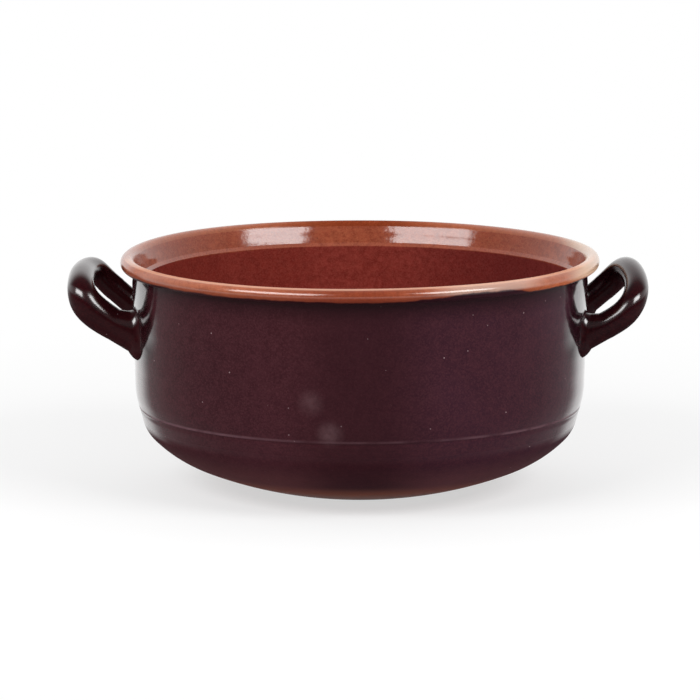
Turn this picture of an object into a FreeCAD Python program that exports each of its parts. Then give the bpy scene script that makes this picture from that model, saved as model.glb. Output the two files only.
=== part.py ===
import FreeCAD, Part
import math
import os

import Sketcher
from FreeCAD import Vector

# A wheel-thrown, glazed terracotta casserole with two coil handles, fired as one piece.
# Millimetres, +Z up, +X through the handles. The origin is the middle of the flat base.

doc = FreeCAD.newDocument("casserole_pot")
sheet = doc.addObject("Spreadsheet::Sheet", "sizes")

SIZES = {
    # Rim: a rolled lip, round in section, that overhangs the neck.
    "overall_height": 137.0,
    "rim_diameter": 280.0,
    "lip_thickness": 8.5,
    "lip_overhang": 6.6,
    # Lid seat: the flare inside the lip ends in a small bevelled ledge.
    "seat_depth": 12.5,
    "seat_width": 1.6,
    # Wall: almost upright, a little wider at the neck than where the skirt ends.
    "wall_thickness": 6.8,
    "wall_taper": 1.5,
    "skirt_height": 13.0,
    "skirt_flare": 2.7,
    # Turned line: the shallow mark where the trimmed bowl meets the thrown wall.
    "turned_line_height": 47.0,
    "turned_line_width": 1.8,
    "turned_line_depth": 0.6,
    "turned_line_step": 0.5,
    # Bowl: a short leaning side, then three rounds, each tangent to the next.
    "bowl_lean": 75.0,
    "bowl_lean_height": 6.6,
    "shoulder_radius": 21.0,
    "haunch_slope": 45.0,
    "haunch_radius": 75.0,
    "belly_radius": 240.0,
    "base_diameter": 104.0,
    "floor_diameter": 112.0,
    "floor_thickness": 8.0,
    # Handles: one round coil each, bent to a loop that rises outward. Drops are below the rim.
    "coil_thickness": 15.6,
    "handle_reach": 37.6,
    "handle_spread": 50.0,
    "front_root_drop": 46.3,
    "front_bend_drop": 25.4,
    "back_bend_drop": 9.1,
    "back_root_drop": 34.4,
    "bend_radius": 19.0,
    "root_depth": 16.0,
    "root_fillet": 6.0,
}
for row, (alias, value) in enumerate(SIZES.items(), start=1):
    sheet.set(f"A{row}", alias)
    sheet.set(f"B{row}", str(value))
    sheet.setAlias(f"B{row}", alias)
doc.recompute()


def size(alias):
    """The number in one cell of the sheet."""
    return float(sheet.get(alias))


def worked_out(formula):
    """The number that a formula of the sheet's cells comes to, in millimetres."""
    return float(sheet.evalExpression(formula))


# Radii and heights of the outline's main corners, as formulas of the cells.
RIM_HEIGHT = "(sizes.overall_height)"
LIP_RADIUS = "(sizes.lip_thickness / 2)"
LIP_ACROSS = f"(sizes.rim_diameter / 2 - {LIP_RADIUS})"
LIP_HEIGHT = f"({RIM_HEIGHT} - {LIP_RADIUS})"
NECK_RADIUS = "(sizes.rim_diameter / 2 - sizes.lip_overhang)"
WALL_RADIUS = f"({NECK_RADIUS} - sizes.wall_taper)"
BOWL_RADIUS = f"({WALL_RADIUS} - sizes.skirt_flare)"
LINE_LOW = "(sizes.turned_line_height - sizes.turned_line_width / 2)"
LINE_HIGH = "(sizes.turned_line_height + sizes.turned_line_width / 2)"
SKIRT_TOP = f"({LINE_HIGH} + sizes.skirt_height)"
INNER_NECK = f"({NECK_RADIUS} - sizes.wall_thickness)"
INNER_WALL = f"({WALL_RADIUS} - sizes.wall_thickness)"
INNER_BOWL = f"({BOWL_RADIUS} - sizes.wall_thickness / sin(sizes.bowl_lean))"
SEAT_RADIUS = f"({INNER_NECK} + sizes.seat_width)"
SEAT_HEIGHT = f"({RIM_HEIGHT} - sizes.seat_depth)"


def spot(across, up):
    """The point on the sketch that two formulas give."""
    return Vector(worked_out(across), worked_out(up), 0)


def origin_part(body, role):
    """The body's own origin plane or axis with this role."""
    return next(item for item in body.Origin.OriginFeatures if item.Role == role)


def drive(sketch, formula, *constraint):
    """Add a constraint whose value follows a formula of the sheet's cells."""
    index = sketch.addConstraint(Sketcher.Constraint(*constraint))
    sketch.setExpression(f"Constraints[{index}]", formula)


def place(sketch, geometry, end, across, up):
    """Hold one end of a curve at a distance from the axis and a height above the base."""
    drive(sketch, across, "DistanceX", -1, 1, geometry, end, worked_out(across))
    drive(sketch, up, "DistanceY", -1, 1, geometry, end, worked_out(up))


def join(sketch, kind, first, second):
    """Join the end of one curve to the start of the next, Coincident or Tangent."""
    sketch.addConstraint(Sketcher.Constraint(kind, first, 2, second, 1))


def polar(centre, radius, degrees):
    angle = math.radians(degrees)
    return Vector(centre.x + radius * math.cos(angle), centre.y + radius * math.sin(angle), 0)


def heading(first, last):
    """The direction from one point to another, in degrees."""
    return math.degrees(math.atan2(last.y - first.y, last.x - first.x))


def arc(centre, radius, start, finish):
    """An arc run counter-clockwise from one angle to the other, in degrees."""
    circle = Part.Circle(centre, Vector(0, 0, 1), radius)
    return Part.ArcOfCircle(circle, math.radians(start), math.radians(finish))


def arc_to_tangent(first, last, slope):
    """The arc that leaves first and ends at last with this slope, in degrees."""
    turn = 2 * (slope - heading(first, last))
    radius = last.sub(first).Length / (2 * math.sin(math.radians(turn / 2)))
    centre = polar(last, radius, slope + 90)
    return arc(centre, radius, slope - turn - 90, slope - 90)


def draw_bowl(sketch, foot, brim, inset, inset_formula):
    """The bowl's outline from the foot up to the brim: belly, haunch, shoulder and side.

    The inset moves the rounds inward, for the inside of the bowl. Returns the numbers of
    the first and the last of the four curves.
    """
    lean = size("bowl_lean")
    shoulder = size("shoulder_radius") - inset
    haunch = size("haunch_radius") - inset
    belly = size("belly_radius") - inset
    low_slope = size("haunch_slope")
    side_foot_height = brim.y - size("bowl_lean_height")
    side_foot_height += inset * math.cos(math.radians(lean))
    drop = (brim.y - side_foot_height) / math.tan(math.radians(lean))
    side_foot = Vector(brim.x - drop, side_foot_height, 0)
    shoulder_centre = polar(side_foot, shoulder, lean + 90)
    shoulder_foot = polar(shoulder_centre, shoulder, low_slope - 90)
    haunch_centre = polar(shoulder_foot, haunch, low_slope + 90)

    # The belly's centre lies one belly radius from the foot, in line with the haunch's.
    span = haunch_centre.sub(foot).Length
    offset = belly - haunch
    cosine = (belly**2 + span**2 - offset**2) / (2 * belly * span)
    swing = heading(foot, haunch_centre) + math.degrees(math.acos(min(cosine, 1)))
    belly_centre = polar(foot, belly, swing)
    meeting = heading(belly_centre, haunch_centre)

    low = sketch.addGeometry(arc(belly_centre, belly, heading(belly_centre, foot), meeting))
    mid = sketch.addGeometry(arc(haunch_centre, haunch, meeting, low_slope - 90))
    high = sketch.addGeometry(arc(shoulder_centre, shoulder, low_slope - 90, lean - 90))
    side = sketch.addGeometry(Part.LineSegment(side_foot, brim))
    join(sketch, "Tangent", low, mid)
    join(sketch, "Tangent", mid, high)
    join(sketch, "Tangent", high, side)
    drive(sketch, f"sizes.belly_radius - {inset_formula}", "Radius", low, belly)
    drive(sketch, f"sizes.haunch_radius - {inset_formula}", "Radius", mid, haunch)
    drive(sketch, f"sizes.shoulder_radius - {inset_formula}", "Radius", high, shoulder)
    turn = "sizes.bowl_lean - sizes.haunch_slope"
    drive(sketch, turn, "Angle", high, math.radians(lean - low_slope))
    drive(sketch, "sizes.bowl_lean", "Angle", side, math.radians(lean))
    side_height = f"{LINE_LOW} - sizes.bowl_lean_height"
    side_height += f" + {inset_formula} * cos(sizes.bowl_lean)"
    drive(sketch, side_height, "DistanceY", -1, 1, side, 1, side_foot_height)
    return low, side


def lip_tangent_point():
    """Where the flare from the lid seat's corner runs smoothly into the lip."""
    centre = spot(LIP_ACROSS, LIP_HEIGHT)
    corner = spot(SEAT_RADIUS, SEAT_HEIGHT)
    half_angle = math.asin(worked_out(LIP_RADIUS) / centre.sub(corner).Length)
    slope = heading(corner, centre) + math.degrees(half_angle)
    return polar(centre, worked_out(LIP_RADIUS), slope + 90)


def draw_outside(body):
    """Half of the outside, from the base round to the lip, closed along the axis."""
    sketch = body.newObject("Sketcher::SketchObject", "outside_outline")
    sketch.AttachmentSupport = [(origin_part(body, "XZ_Plane"), "")]
    sketch.MapMode = "FlatFace"
    foot = spot("sizes.base_diameter / 2", "0")
    brim = spot(BOWL_RADIUS, LINE_LOW)
    notch = spot(f"{BOWL_RADIUS} - sizes.turned_line_depth", "sizes.turned_line_height")
    step = spot(f"{BOWL_RADIUS} + sizes.turned_line_step", LINE_HIGH)
    skirt_top = spot(WALL_RADIUS, SKIRT_TOP)
    lip_centre = spot(LIP_ACROSS, LIP_HEIGHT)
    lip_radius = worked_out(LIP_RADIUS)
    across = worked_out(NECK_RADIUS) - lip_centre.x
    neck_height = lip_centre.y - math.sqrt(lip_radius**2 - across**2)
    neck_top = Vector(worked_out(NECK_RADIUS), neck_height, 0)
    lip_inner = lip_tangent_point()
    top = Vector(0, lip_inner.y, 0)

    base = sketch.addGeometry(Part.LineSegment(Vector(0, 0, 0), foot))
    low, side = draw_bowl(sketch, foot, brim, 0, "0")
    cut_in = sketch.addGeometry(Part.LineSegment(brim, notch))
    cut_out = sketch.addGeometry(Part.LineSegment(notch, step))
    skirt = sketch.addGeometry(arc_to_tangent(step, skirt_top, heading(skirt_top, neck_top)))
    wall = sketch.addGeometry(Part.LineSegment(skirt_top, neck_top))
    lip_start = heading(lip_centre, neck_top)
    lip_finish = heading(lip_centre, lip_inner)
    lip = sketch.addGeometry(arc(lip_centre, lip_radius, lip_start, lip_finish))
    lid = sketch.addGeometry(Part.LineSegment(lip_inner, top))
    axis = sketch.addGeometry(Part.LineSegment(top, Vector(0, 0, 0)))
    seat_corner = spot(SEAT_RADIUS, SEAT_HEIGHT)
    flare = sketch.addGeometry(Part.LineSegment(lip_inner, seat_corner), True)

    sketch.addConstraint(Sketcher.Constraint("Coincident", base, 1, -1, 1))
    sketch.addConstraint(Sketcher.Constraint("Horizontal", base))
    sketch.addConstraint(Sketcher.Constraint("Horizontal", lid))
    sketch.addConstraint(Sketcher.Constraint("Vertical", axis))
    drive(sketch, "sizes.base_diameter / 2", "DistanceX", -1, 1, base, 2, foot.x)
    join(sketch, "Coincident", base, low)
    join(sketch, "Coincident", side, cut_in)
    join(sketch, "Coincident", cut_in, cut_out)
    join(sketch, "Coincident", cut_out, skirt)
    join(sketch, "Tangent", skirt, wall)
    join(sketch, "Coincident", wall, lip)
    join(sketch, "Coincident", lip, lid)
    join(sketch, "Coincident", lid, axis)
    join(sketch, "Coincident", axis, base)
    join(sketch, "Tangent", lip, flare)
    place(sketch, side, 2, BOWL_RADIUS, LINE_LOW)
    place(sketch, cut_in, 2, f"{BOWL_RADIUS} - sizes.turned_line_depth", "sizes.turned_line_height")
    place(sketch, cut_out, 2, f"{BOWL_RADIUS} + sizes.turned_line_step", LINE_HIGH)
    place(sketch, skirt, 2, WALL_RADIUS, SKIRT_TOP)
    place(sketch, lip, 3, LIP_ACROSS, LIP_HEIGHT)
    drive(sketch, LIP_RADIUS, "Radius", lip, lip_radius)
    drive(sketch, NECK_RADIUS, "DistanceX", -1, 1, wall, 2, neck_top.x)
    place(sketch, flare, 2, SEAT_RADIUS, SEAT_HEIGHT)
    return sketch


def draw_inside(body):
    """Half of the inside, from the floor up to the lip, closed along the axis."""
    sketch = body.newObject("Sketcher::SketchObject", "inside_outline")
    sketch.AttachmentSupport = [(origin_part(body, "XZ_Plane"), "")]
    sketch.MapMode = "FlatFace"
    floor_middle = spot("0", "sizes.floor_thickness")
    foot = spot("sizes.floor_diameter / 2", "sizes.floor_thickness")
    brim = spot(INNER_BOWL, LINE_LOW)
    skirt_top = spot(INNER_WALL, SKIRT_TOP)
    seat_corner = spot(SEAT_RADIUS, SEAT_HEIGHT)
    seat_foot = spot(INNER_NECK, f"{SEAT_HEIGHT} - sizes.seat_width")
    lip_centre = spot(LIP_ACROSS, LIP_HEIGHT)
    lip_radius = worked_out(LIP_RADIUS)
    lip_inner = lip_tangent_point()
    top = Vector(0, lip_inner.y, 0)

    floor = sketch.addGeometry(Part.LineSegment(floor_middle, foot))
    low, side = draw_bowl(sketch, foot, brim, size("wall_thickness"), "sizes.wall_thickness")
    skirt = sketch.addGeometry(arc_to_tangent(brim, skirt_top, heading(skirt_top, seat_foot)))
    wall = sketch.addGeometry(Part.LineSegment(skirt_top, seat_foot))
    ledge = sketch.addGeometry(Part.LineSegment(seat_foot, seat_corner))
    flare = sketch.addGeometry(Part.LineSegment(seat_corner, lip_inner))
    lip_finish = heading(lip_centre, lip_inner)
    lip = sketch.addGeometry(arc(lip_centre, lip_radius, 0, lip_finish), True)
    lid = sketch.addGeometry(Part.LineSegment(lip_inner, top))
    axis = sketch.addGeometry(Part.LineSegment(top, floor_middle))

    sketch.addConstraint(Sketcher.Constraint("Horizontal", floor))
    sketch.addConstraint(Sketcher.Constraint("Horizontal", lid))
    sketch.addConstraint(Sketcher.Constraint("Vertical", axis))
    sketch.addConstraint(Sketcher.Constraint("PointOnObject", floor, 1, -2))
    drive(sketch, "sizes.floor_thickness", "DistanceY", -1, 1, floor, 2, foot.y)
    drive(sketch, "sizes.floor_diameter / 2", "DistanceX", -1, 1, floor, 2, foot.x)
    join(sketch, "Coincident", floor, low)
    join(sketch, "Coincident", side, skirt)
    join(sketch, "Tangent", skirt, wall)
    place(sketch, side, 2, INNER_BOWL, LINE_LOW)
    place(sketch, skirt, 2, INNER_WALL, SKIRT_TOP)
    join(sketch, "Coincident", wall, ledge)
    join(sketch, "Coincident", ledge, flare)
    place(sketch, wall, 2, INNER_NECK, f"{SEAT_HEIGHT} - sizes.seat_width")
    place(sketch, flare, 1, SEAT_RADIUS, SEAT_HEIGHT)
    sketch.addConstraint(Sketcher.Constraint("Tangent", flare, 2, lip, 2))
    sketch.addConstraint(Sketcher.Constraint("Horizontal", lip, 1, lip, 3))
    place(sketch, lip, 3, LIP_ACROSS, LIP_HEIGHT)
    drive(sketch, LIP_RADIUS, "Radius", lip, lip_radius)
    join(sketch, "Coincident", flare, lid)
    join(sketch, "Coincident", lid, axis)
    join(sketch, "Coincident", axis, floor)
    return sketch


def handle_route():
    """The middle line of the right handle's coil, from the front root round to the back one.

    Two straight arms climb out of the wall to two bends, joined by the outer stretch that a
    hand holds. The front arm is the lower one, so that stretch rises towards the back. Each
    arm also runs on straight into the wall, where the inside of the pot trims it.
    """
    rim = size("overall_height")
    half_spread = size("handle_spread") / 2
    wall = math.sqrt(worked_out(WALL_RADIUS) ** 2 - half_spread**2)
    outer = worked_out(NECK_RADIUS) + size("handle_reach") - size("coil_thickness") / 2
    front_root = Vector(wall, -half_spread, rim - size("front_root_drop"))
    front_bend = Vector(outer, -half_spread, rim - size("front_bend_drop"))
    back_bend = Vector(outer, half_spread, rim - size("back_bend_drop"))
    back_root = Vector(wall, half_spread, rim - size("back_root_drop"))
    front_buried = front_root - (front_bend - front_root).normalize() * size("root_depth")
    back_buried = back_root - (back_bend - back_root).normalize() * size("root_depth")
    front_start, front_arc, front_end = rounded(front_root, front_bend, back_bend)
    back_start, back_arc, back_end = rounded(front_bend, back_bend, back_root)
    front_arm = Part.LineSegment(front_buried, front_start)
    hold = Part.LineSegment(front_end, back_start)
    back_arm = Part.LineSegment(back_end, back_buried)
    curves = (front_arm, front_arc, hold, back_arc, back_arm)
    return Part.Wire([curve.toShape() for curve in curves])


def rounded(before, corner, after):
    """The arc that rounds a corner of the route, between the points where it starts and ends."""
    back = (before - corner).normalize()
    ahead = (after - corner).normalize()
    half_angle = back.getAngle(ahead) / 2
    radius = size("bend_radius")
    cut = radius / math.tan(half_angle)
    middle = (back + ahead).normalize() * (radius / math.sin(half_angle) - radius)
    start = corner + back * cut
    end = corner + ahead * cut
    return start, Part.Arc(start, corner + middle, end), end


def draw_coil(body, route):
    """The coil's round section, square to its route at the front root."""
    sketch = body.newObject("Sketcher::SketchObject", "coil_section")
    sketch.AttachmentSupport = [(route, "Edge1")]
    sketch.MapMode = "NormalToEdge"
    radius = size("coil_thickness") / 2
    ring = sketch.addGeometry(Part.Circle(Vector(0, 0, 0), Vector(0, 0, 1), radius))
    sketch.addConstraint(Sketcher.Constraint("Coincident", ring, 3, -1, 1))
    drive(sketch, "sizes.coil_thickness / 2", "Radius", ring, radius)
    return sketch


def root_edges(shape, wall_radius):
    """The edges where the coils meet the wall: no circle round the axis is among them."""
    names = []
    for number, edge in enumerate(shape.Edges, start=1):
        middle = edge.valueAt((edge.FirstParameter + edge.LastParameter) / 2)
        off_axis = math.hypot(middle.x, middle.y)
        beside_wall = abs(off_axis - wall_radius) < size("wall_taper") + 1
        if beside_wall and not isinstance(edge.Curve, (Part.Circle, Part.Line)):
            names.append(f"Edge{number}")
    return names


body = doc.addObject("PartDesign::Body", "casserole")
body.Label = "casserole"

pot = body.newObject("PartDesign::Revolution", "thrown_pot")
pot.Profile = draw_outside(body)
pot.ReferenceAxis = (origin_part(body, "Z_Axis"), [""])
pot.Angle = 360
doc.recompute()

loop = doc.addObject("Part::Feature", "handle_route")
loop.Shape = handle_route()
route = body.newObject("PartDesign::ShapeBinder", "handle_route_in_body")
route.Support = [(loop, "")]
doc.recompute()
handle = body.newObject("PartDesign::AdditivePipe", "right_handle")
handle.Profile = draw_coil(body, route)
handle.Spine = (route, [f"Edge{number}" for number in range(1, 6)])
doc.recompute()

both = body.newObject("PartDesign::Mirrored", "both_handles")
both.Originals = [handle]
both.MirrorPlane = (origin_part(body, "YZ_Plane"), [""])
body.Tip = both
doc.recompute()

roots = body.newObject("PartDesign::Fillet", "smoothed_roots")
roots.Base = (both, root_edges(both.Shape, worked_out(WALL_RADIUS)))
roots.setExpression("Radius", "sizes.root_fillet")
doc.recompute()

solid_volume = roots.Shape.Volume
cavity = body.newObject("PartDesign::Groove", "cavity")
cavity.Profile = draw_inside(body)
cavity.ReferenceAxis = (origin_part(body, "Z_Axis"), [""])
cavity.Angle = 360
doc.recompute()

for item in doc.Objects:
    if "Invalid" in item.State or "Error" in item.State:
        raise ValueError(f"{item.Name} failed")
if body.Shape.isNull() or not body.Shape.isValid() or len(body.Shape.Solids) != 1:
    raise ValueError("the casserole is not one valid solid")
if body.Shape.Volume > 0.6 * solid_volume:
    raise ValueError("the inside was not cut away")

box = body.Shape.BoundBox
print(f"casserole: {box.XLength:.1f} x {box.YLength:.1f} x {box.ZLength:.1f} mm,")
print(f"volume {body.Shape.Volume / 1000:.0f} cm3")
os.makedirs("parts", exist_ok=True)
body.Shape.exportStep("parts/casserole.step")
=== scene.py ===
# %% [markdown]
# # A glazed terracotta casserole
#
# A two-handled cooking pot of red clay. It is thrown on a wheel, trimmed underneath, dipped
# in a dark brown glaze outside and coated with a clear one inside, then fired once.
# Everything is in metres, +Z up, and the origin is the middle of the base.

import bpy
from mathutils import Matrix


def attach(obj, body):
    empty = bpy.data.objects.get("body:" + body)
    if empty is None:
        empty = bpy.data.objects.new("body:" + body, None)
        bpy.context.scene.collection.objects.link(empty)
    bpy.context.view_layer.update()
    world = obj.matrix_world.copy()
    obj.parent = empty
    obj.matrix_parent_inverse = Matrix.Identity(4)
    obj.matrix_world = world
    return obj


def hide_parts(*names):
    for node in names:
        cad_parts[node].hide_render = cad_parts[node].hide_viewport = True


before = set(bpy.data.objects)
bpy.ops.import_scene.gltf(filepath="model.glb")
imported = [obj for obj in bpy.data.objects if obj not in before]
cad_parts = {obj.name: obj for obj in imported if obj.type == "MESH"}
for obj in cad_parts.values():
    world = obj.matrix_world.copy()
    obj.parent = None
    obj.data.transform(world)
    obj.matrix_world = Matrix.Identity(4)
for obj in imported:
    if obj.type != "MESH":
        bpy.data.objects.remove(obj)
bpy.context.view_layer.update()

# %% Tools
import math

import bmesh
import bpy
from mathutils import Vector

MM = 0.001
print("shapes are drawn in millimetres of", MM, "m")

# %% [markdown]
# ## The camera
#
# The photograph is taken from over three metres away with a long lens, a little above the
# rim. That shows in the ellipses: the rim's is flatter than that of the line near the base.
# The camera is placed first, because shapes are compared from where it stands.

# %% Place the camera
PHOTO_DISTANCE = 3.176
PHOTO_ELEVATION = math.radians(9.62)
AIM = Vector((-0.0057, 0.0, 0.0795))
SENSOR_WIDTH = 36.0
LENS_LENGTH = 277.9
FARTHEST_SEEN = 50.0

camera_data = bpy.data.cameras.new("photo_camera")
camera_data.sensor_width = SENSOR_WIDTH
camera_data.lens = LENS_LENGTH
camera_data.clip_end = FARTHEST_SEEN
camera = bpy.data.objects.new("photo_camera", camera_data)
bpy.context.scene.collection.objects.link(camera)
back = Vector((0.0, -math.cos(PHOTO_ELEVATION), math.sin(PHOTO_ELEVATION)))
camera.location = AIM + back * PHOTO_DISTANCE
camera.rotation_mode = "QUATERNION"
camera.rotation_quaternion = (-back).to_track_quat("-Z", "Y")
bpy.context.scene.camera = camera
print("camera", [round(v, 3) for v in camera.location])

# %% [markdown]
# ## The outline of the thrown pot
#
# A potter draws a pot as half of its section. The outline here is a chain of arcs and
# straight lines in millimetres, each pair being (distance from the axis, height). Arcs are
# given by centre, radius and two angles, so that every round stays a true round.

# %% Pieces of the outline
def polar(centre, radius, degrees):
    """The point at this distance and direction from a centre."""
    angle = math.radians(degrees)
    return (centre[0] + radius * math.cos(angle), centre[1] + radius * math.sin(angle))


def arc(centre, radius, start, finish, steps):
    """Points along an arc, both ends included."""
    turn = (finish - start) / steps
    return [polar(centre, radius, start + turn * i) for i in range(steps + 1)]


def line(first, last, steps):
    """Points along a straight line, both ends included."""
    shares = [i / steps for i in range(steps + 1)]
    return [tuple(a + (b - a) * s for a, b in zip(first, last)) for s in shares]


def heading(first, last):
    """The direction from one point to another, in degrees."""
    return math.degrees(math.atan2(last[1] - first[1], last[0] - first[0]))


def arc_between(first, last, bulge, steps):
    """An arc from one point to another that bulges to the right by so many millimetres."""
    middle = [(a + b) / 2 for a, b in zip(first, last)]
    half = math.dist(first, last) / 2
    radius = (half**2 + bulge**2) / (2 * bulge)
    centre = polar(middle, radius - bulge, heading(first, last) + 90)
    sweep = math.degrees(2 * math.asin(half / radius))
    start = heading(centre, first)
    return arc(centre, radius, start, start + sweep, steps)


middle = arc_between((0, 0), (0, 10), 1.0, 2)[1]
print("an arc 10 mm long that bulges 1 mm passes", [round(v, 2) for v in middle])

# %% [markdown]
# The measures come from the photograph, at 280 mm across the rim. The turned line is a small
# step that the potter cuts with a tool's corner. The lip is rolled over by hand, and inside it
# a narrow ledge is pressed in for a lid.

# %% Measures of the pot
RIM_HEIGHT = 137.0
LIP_RADIUS = 4.25
LIP_CENTRE = (135.75, RIM_HEIGHT - LIP_RADIUS)
UNDER_LIP_CENTRE = (134.5, 128.4)
UNDER_LIP_RADIUS = 1.1
NECK = (133.4, 128.4)
SKIRT_TOP = (131.9, 60.9)
LINE_TOP = (129.75, 48.0)
LINE_EDGE = (129.45, 47.6)
LINE_NOTCH = (128.75, 47.0)
LINE_FOOT = (129.2, 46.1)
BASE_EDGE = (52.0, 0.0)
SEAT_CORNER = (128.4, 124.5)
INNER_NECK = (126.6, 122.6)
INNER_SKIRT = (125.1, 60.9)
INNER_BRIM = (122.1, 46.1)
FLOOR_EDGE = (56.0, 8.0)
BASE_ROUNDING = 1.5
SKIRT_BULGE = 0.45
INNER_BULGE = 0.4
LIP_STARTS_PAST_NECK = 8
LIP_ENDS_AT = 162
NEAR_AXIS = 2.0
WALL = 6.8
print("the lip is", LIP_CENTRE[0] + LIP_RADIUS, "mm from the axis")

# %% [markdown]
# The bowl below the turned line is three rounds, each running smoothly into the next: a
# nearly flat belly, a haunch and a tight shoulder. The inside follows them one wall
# thickness further in. The rounds are joined by their tangents, which is why the belly's
# centre is worked out from the foot and the haunch.

# %% The rounds of the bowl
SIDE_LEAN = 75.0
SIDE_LENGTH = 6.6
HAUNCH_SLOPE = 45.0
SHOULDER_RADIUS = 21.0
HAUNCH_RADIUS = 75.0
BELLY_RADIUS = 240.0


def bowl(foot, brim, inset):
    """The bowl from its foot up to the brim: belly, haunch, shoulder and a short side."""
    lean = math.radians(SIDE_LEAN)
    shoulder = SHOULDER_RADIUS - inset
    haunch = HAUNCH_RADIUS - inset
    belly = BELLY_RADIUS - inset
    side = SIDE_LENGTH - inset * math.cos(lean)
    side_foot = (brim[0] - side / math.tan(lean), brim[1] - side)
    shoulder_centre = polar(side_foot, shoulder, SIDE_LEAN + 90)
    shoulder_foot = polar(shoulder_centre, shoulder, HAUNCH_SLOPE - 90)
    haunch_centre = polar(shoulder_foot, haunch, HAUNCH_SLOPE + 90)
    span = math.dist(haunch_centre, foot)
    cosine = (belly**2 + span**2 - (belly - haunch) ** 2) / (2 * belly * span)
    swing = heading(foot, haunch_centre) + math.degrees(math.acos(cosine))
    belly_centre = polar(foot, belly, swing)
    meeting = heading(belly_centre, haunch_centre)
    points = arc(belly_centre, belly, heading(belly_centre, foot), meeting, 14)
    points += arc(haunch_centre, haunch, meeting, HAUNCH_SLOPE - 90, 14)[1:]
    points += arc(shoulder_centre, shoulder, HAUNCH_SLOPE - 90, SIDE_LEAN - 90, 8)[1:]
    return points + line(side_foot, brim, 3)[1:]


print("the bowl has", len(bowl(BASE_EDGE, LINE_FOOT, 0.0)), "points")

# %% [markdown]
# The outline runs from the axis across the underside, up the outside, over the lip and down
# the inside in one go, so that the skin closes by itself. It is kept in three parts, because
# each has its own glaze.

# %% The whole outline
outside = line((NEAR_AXIS, 0.0), (BASE_EDGE[0] - BASE_ROUNDING, 0.0), 10)
outside += bowl(BASE_EDGE, LINE_FOOT, 0.0)
outside += [LINE_NOTCH, LINE_EDGE, LINE_TOP]
outside += arc_between(LINE_TOP, SKIRT_TOP, SKIRT_BULGE, 8)[1:]
outside += line(SKIRT_TOP, NECK, 34)[1:]
outside += arc(UNDER_LIP_CENTRE, UNDER_LIP_RADIUS, 180, 118, 3)[1:]
lip_start = heading(LIP_CENTRE, outside[-1]) + LIP_STARTS_PAST_NECK
lip = arc(LIP_CENTRE, LIP_RADIUS, lip_start, LIP_ENDS_AT, 26)
inside = line(lip[-1], SEAT_CORNER, 8)[1:]
inside += line(SEAT_CORNER, INNER_NECK, 2)[1:]
inside += line(INNER_NECK, INNER_SKIRT, 24)[1:]
inside += arc_between(INNER_BRIM, INNER_SKIRT, INNER_BULGE, 8)[-2::-1]
inside += bowl(FLOOR_EDGE, INNER_BRIM, WALL)[-2::-1]
inside += line(FLOOR_EDGE, (NEAR_AXIS, FLOOR_EDGE[1]), 10)[1:]
print("outline points:", len(outside), len(lip), len(inside))

# %% [markdown]
# ## Throwing the pot
#
# The outline is turned round the axis, as on the wheel. A hand-thrown rim is never quite level
# or quite round, so each ring is nudged a fraction of a millimetre by slow waves. They fade
# out towards the base, which was pressed flat on its board.

# %% Hand-thrown unevenness
TILT = 0.9
# Waves round the pot are (millimetres, number of crests, where they start).
LEVEL_WAVES = ((0.16, 3, 0.7), (0.10, 5, 2.1))
ROUND_WAVES = ((0.35, 2, 0.5 + math.pi / 2), (0.15, 3, 1.3))
# Rings left by the fingers are (millimetres, turns with height, turns with the angle).
FINGER_RINGS = ((0.05, 0.55, 1), (0.04, 1.31, -2))
STILL_BELOW = 20.0
FULL_ABOVE = 120.0


def smooth(share):
    """A share from 0 to 1 that starts and ends gently."""
    return share * share * (3 - 2 * share)


def uneven(across, up, angle):
    """Where a point of the perfect pot ends up on the real one, in millimetres."""
    share = (up - STILL_BELOW) / (FULL_ABOVE - STILL_BELOW)
    share = smooth(max(0.0, min(1.0, share)))
    front = 0.5 - 0.5 * math.sin(angle)
    level = TILT * math.cos(angle) * front
    level += sum(size * math.sin(count * angle + shift) for size, count, shift in LEVEL_WAVES)
    wide = sum(size * math.sin(count * angle + shift) for size, count, shift in ROUND_WAVES)
    wide += sum(size * math.sin(up * rate + angle * turn) for size, rate, turn in FINGER_RINGS)
    return across + wide * share, up + level * share


def on_pot(across, up, angle):
    """A point of the real pot, in metres."""
    across, up = uneven(across, up, angle)
    return Vector((across * math.cos(angle), across * math.sin(angle), up)) * MM


print("the rim at the left, right and front:")
print([round(uneven(140, RIM_HEIGHT, math.radians(turn))[1], 2) for turn in (180, 0, -90)])

# %% [markdown]
# The turned skin is one closed surface. Each strip of it remembers which finish it has, so
# that the glazes can be laid on later. The two edges of the lid's ledge stay crisp, because a
# tool pressed them in, and the rest is smooth.

# %% Turn the outline
SEGMENTS = 384
OUTSIDE, LIP, INSIDE, COIL = 0, 1, 2, 3

profile = outside + lip + inside


def zone_of(number):
    """Which finish the strip above this ring of the outline has."""
    if number < len(outside) - 1:
        return OUTSIDE
    return LIP if number < len(outside) + len(lip) - 1 else INSIDE


pot_mesh = bmesh.new()


def skin(corners, zone):
    """Add one smooth face with this finish."""
    face = pot_mesh.faces.new(corners)
    face.smooth = True
    face.material_index = zone


angles = [2 * math.pi * i / SEGMENTS for i in range(SEGMENTS)]
rings = [[pot_mesh.verts.new(on_pot(*point, a)) for a in angles] for point in profile]
for number, (low, high) in enumerate(zip(rings, rings[1:])):
    for i in range(SEGMENTS):
        j = (i + 1) % SEGMENTS
        skin((low[i], low[j], high[j], high[i]), zone_of(number))
for number in (profile.index(SEAT_CORNER), profile.index(INNER_NECK)):
    for first, last in zip(rings[number], rings[number][1:] + rings[number][:1]):
        pot_mesh.edges.get((first, last)).smooth = False
for ring, zone in ((rings[0][::-1], OUTSIDE), (rings[-1], INSIDE)):
    middle = pot_mesh.verts.new(sum((v.co for v in ring), Vector()) / SEGMENTS)
    for i in range(SEGMENTS):
        skin((ring[i], ring[(i + 1) % SEGMENTS], middle), zone)
print("thrown pot:", len(pot_mesh.faces), "faces")

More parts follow.
